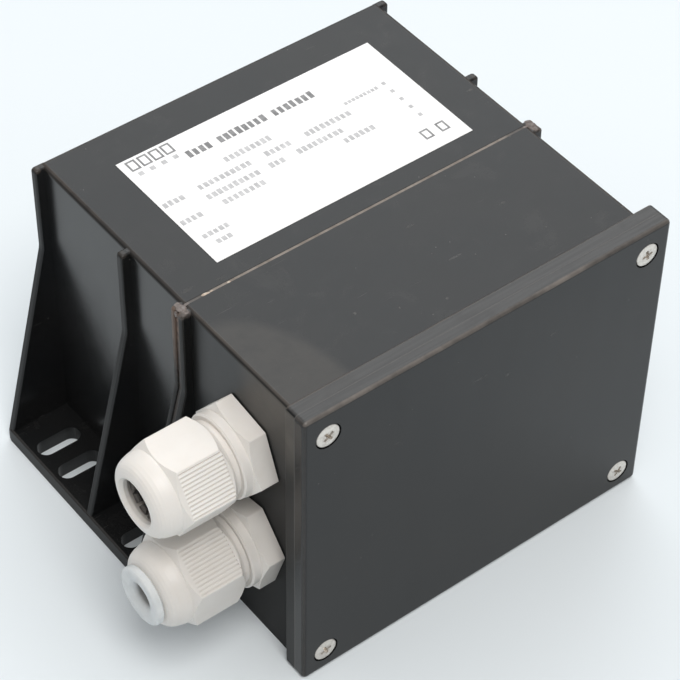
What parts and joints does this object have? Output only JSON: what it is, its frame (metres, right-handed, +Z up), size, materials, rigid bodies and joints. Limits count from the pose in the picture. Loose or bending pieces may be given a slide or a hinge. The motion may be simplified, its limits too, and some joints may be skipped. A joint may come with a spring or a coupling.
{
  "type": "safety transformer",
  "caption": "Potted safety transformer: black ribbed housing with slotted feet, glued-on terminal box with a screwed cover, and pale cable glands, one of them plugged, in the box's side.",
  "frame": {"origin": "middle of the rectangle of foot slots, on the base plane", "axes": "+Z up from the base, +Y from the cover towards the back of the housing, +X across, with the cable glands on the -X side"},
  "size_m": [0.1469, 0.1045, 0.088],
  "materials": {
    "black_plastic": "satin moulded plastic",
    "seam_resin": "cast resin in a joint",
    "gasket_rubber": "flat seal",
    "screw_steel": "zinc plated",
    "gland_plastic": "satin polyamide",
    "plug_plastic": "milky polyethylene",
    "seal_rubber": "soft sleeve",
    "label_film": null,
    "core_steel": "stacked laminations",
    "bobbin_plastic": "moulded",
    "copper_wire": "enamelled copper",
    "winding_film": "polyester tape",
    "potting": "cast resin",
    "lead_insulation": "wire insulation",
    "terminal_plastic": "moulded",
    "terminal_brass": "plain",
    "fuse_glass": "clear"
  },
  "bodies": {
    "root": {"rear_housing": "black_plastic", "terminal_box": "black_plastic", "front_cover": "black_plastic", "seam_bead": "seam_resin", "cover_gasket": "gasket_rubber", "cover_screws": "screw_steel", "gland_body_upper": "gland_plastic", "gland_body_lower": "gland_plastic", "gland_nut_upper": "gland_plastic", "gland_nut_lower": "gland_plastic", "gland_locknut_upper": "gland_plastic", "gland_locknut_lower": "gland_plastic", "gland_seal_upper": "seal_rubber", "gland_seal_lower": "seal_rubber", "gland_washer_upper": "seal_rubber", "gland_washer_lower": "seal_rubber", "gland_plug": "plug_plastic", "rating_label": "label_film", "core_e_stack": "core_steel", "core_i_stack": "core_steel", "coil_bobbin": "bobbin_plastic", "primary_winding": "copper_wire", "secondary_winding": "copper_wire", "winding_tape": "winding_film", "potting_resin": "potting", "primary_leads": "lead_insulation", "secondary_leads": "lead_insulation", "primary_terminal_block": "terminal_plastic", "secondary_terminal_block": "terminal_plastic", "primary_terminal_clamps": "terminal_brass", "secondary_terminal_clamps": "terminal_brass", "primary_terminal_screws": "screw_steel", "secondary_terminal_screws": "screw_steel", "block_screws": "screw_steel", "fuse_base": "terminal_plastic", "fuse_clips": "terminal_brass", "fuse_caps": "terminal_brass", "fuse_tube": "fuse_glass"}
  },
  "joints": []
}
